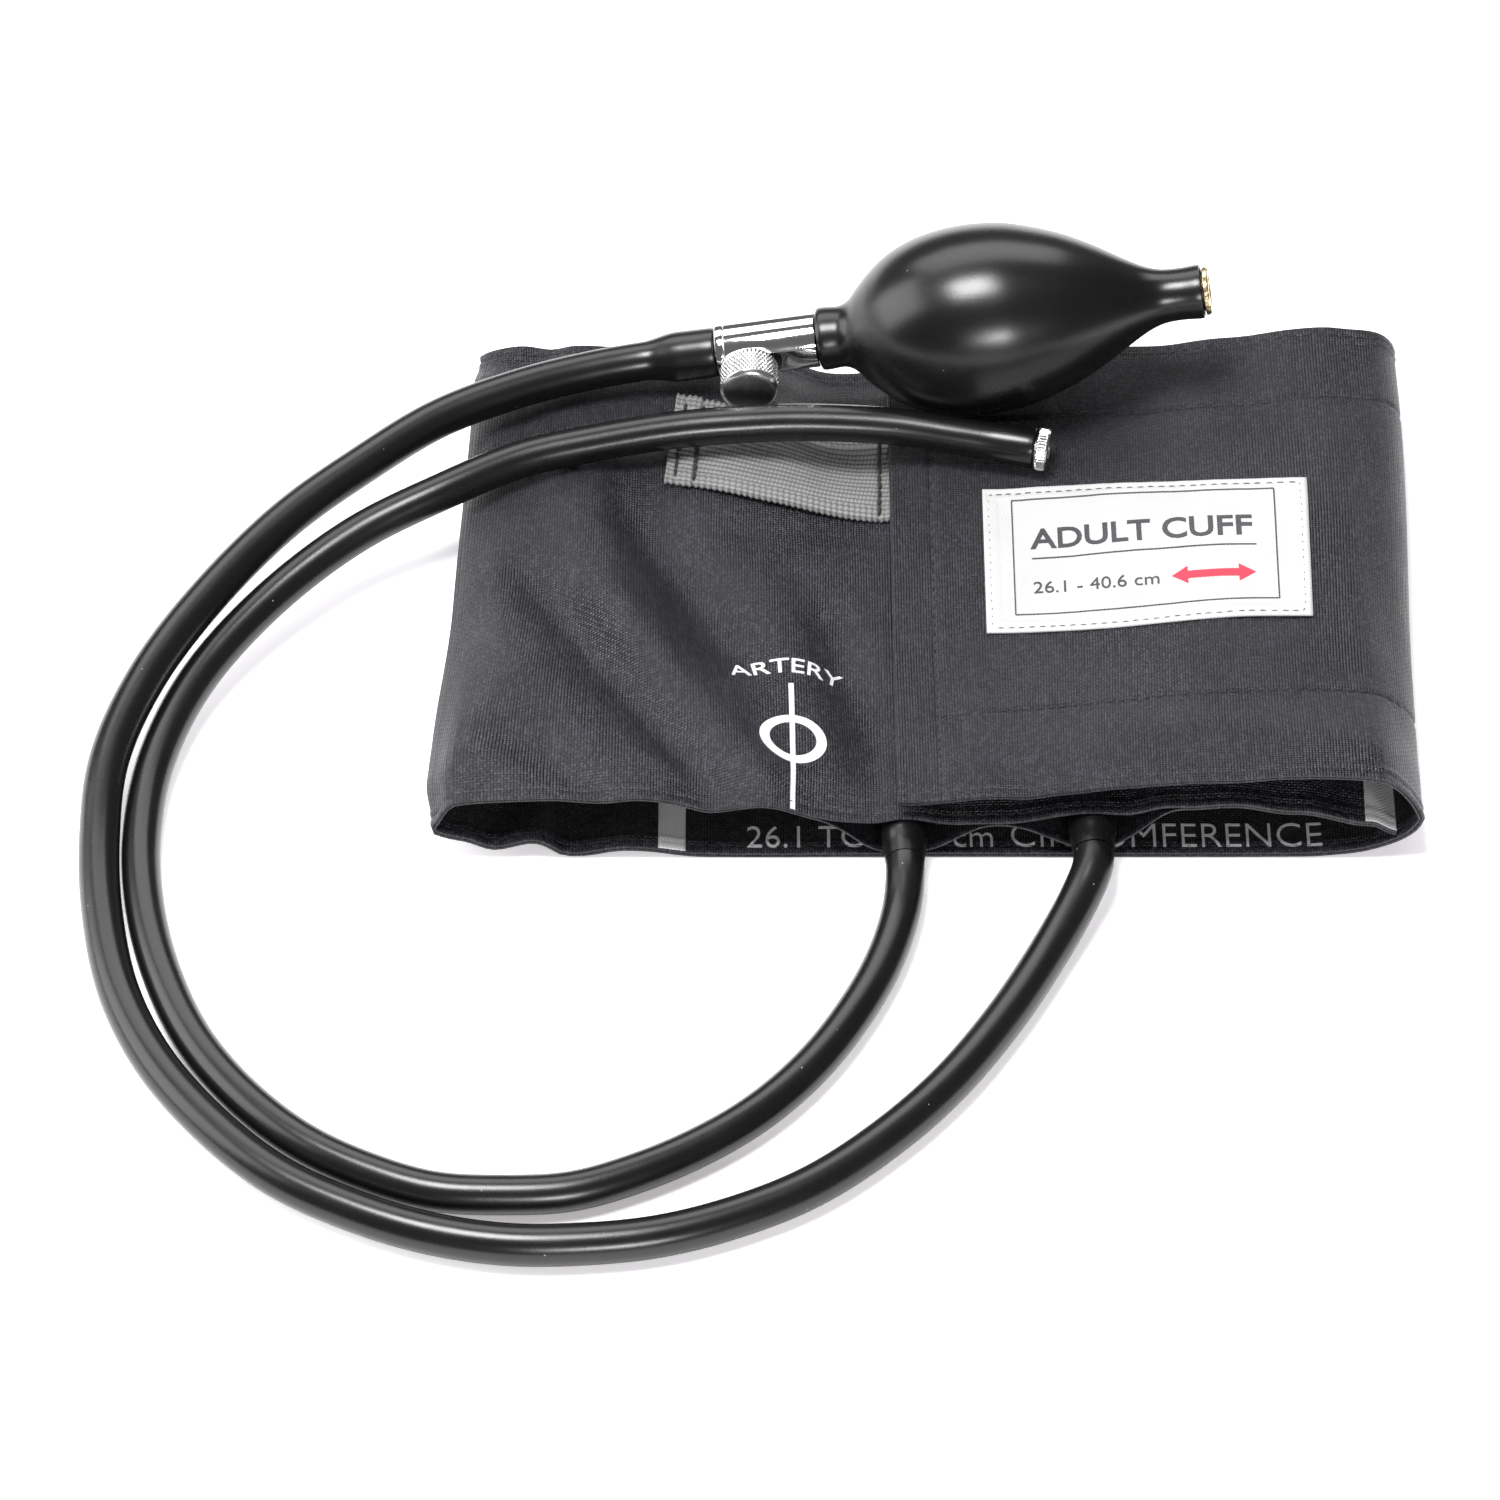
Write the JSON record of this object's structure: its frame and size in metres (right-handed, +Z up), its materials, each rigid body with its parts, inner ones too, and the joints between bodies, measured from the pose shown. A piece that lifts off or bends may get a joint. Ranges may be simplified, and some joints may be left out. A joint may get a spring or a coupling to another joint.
{
  "type": "blood pressure cuff",
  "caption": "Aneroid blood pressure cuff wrapped closed and lying flat, with squeeze bulb, thumbscrew release valve and hoses.",
  "frame": {"origin": "centre of the cuff's flat underside, on the surface that it lies on", "axes": "+Z up, +X along the wrap towards its right fold, -Y towards the edge that the hoses leave"},
  "size_m": [0.2927, 0.2676, 0.0581],
  "materials": {
    "outer_nylon": "woven charcoal nylon with a slight sheen",
    "lining_nylon": "woven black nylon, matte",
    "hook_and_loop": "black hook and loop pile",
    "grey_webbing": "ribbed grey polypropylene webbing",
    "white_satin": "white woven satin",
    "grey_satin": "grey woven satin tape",
    "black_rubber": "smooth satin black rubber",
    "bladder_rubber": "matte black latex-free rubber",
    "chrome": "bright chrome plate",
    "nickel": "nickel plate, knurled",
    "brass": "turned brass"
  },
  "bodies": {
    "cuff": {"outer_bladder_panel": "outer_nylon", "outer_left_fold": "outer_nylon", "outer_bottom_panel": "outer_nylon", "outer_right_fold": "outer_nylon", "outer_flap_panel": "outer_nylon", "inner_lining": "lining_nylon", "bladder": "bladder_rubber", "gauge_port": "black_rubber", "bulb_port": "black_rubber", "loop_patch": "hook_and_loop", "hook_patch": "hook_and_loop", "size_label": "white_satin", "index_tape": "white_satin", "range_tape": "grey_satin", "gauge_strap": "grey_webbing", "gauge_hose": "black_rubber", "bulb_hose": "black_rubber", "gauge_connector": "nickel", "bulb_shell": "black_rubber", "valve_body": "chrome", "gland_bush": "brass", "outlet_seat": "brass", "inlet_valve_body": "brass", "inlet_retainer": "brass", "inlet_filter": "brass"},
    "stem_slide": {"stem_seal": "black_rubber"},
    "thumbscrew": {"valve_knob": "nickel", "needle_stem": "nickel"},
    "outlet_check": {"outlet_ball": "nickel"},
    "inlet_check": {"inlet_ball": "nickel"}
  },
  "joints": [
    {"name": "stem_advance", "type": "slide", "parent": "cuff", "child": "stem_slide", "axis": [0, -1, 0], "range_m": [0, 0.0014]},
    {"name": "thumbscrew_turn", "type": "hinge", "parent": "stem_slide", "child": "thumbscrew", "pos_m": [-0.0389, 0.0486, 0.02655], "axis": [0, -1, 0], "range_deg": [0, 720]},
    {"name": "outlet_ball_lift", "type": "slide", "parent": "cuff", "child": "outlet_check", "axis": [-0.9848, 0, -0.1736], "range_m": [0, 0.0012]},
    {"name": "inlet_ball_lift", "type": "slide", "parent": "cuff", "child": "inlet_check", "axis": [-0.9848, 0, -0.1736], "range_m": [0, 0.0012]}
  ],
  "couplings": [
    {"joint": "stem_advance", "follows": "thumbscrew_turn", "m_per_rad": 0.00011141}
  ]
}
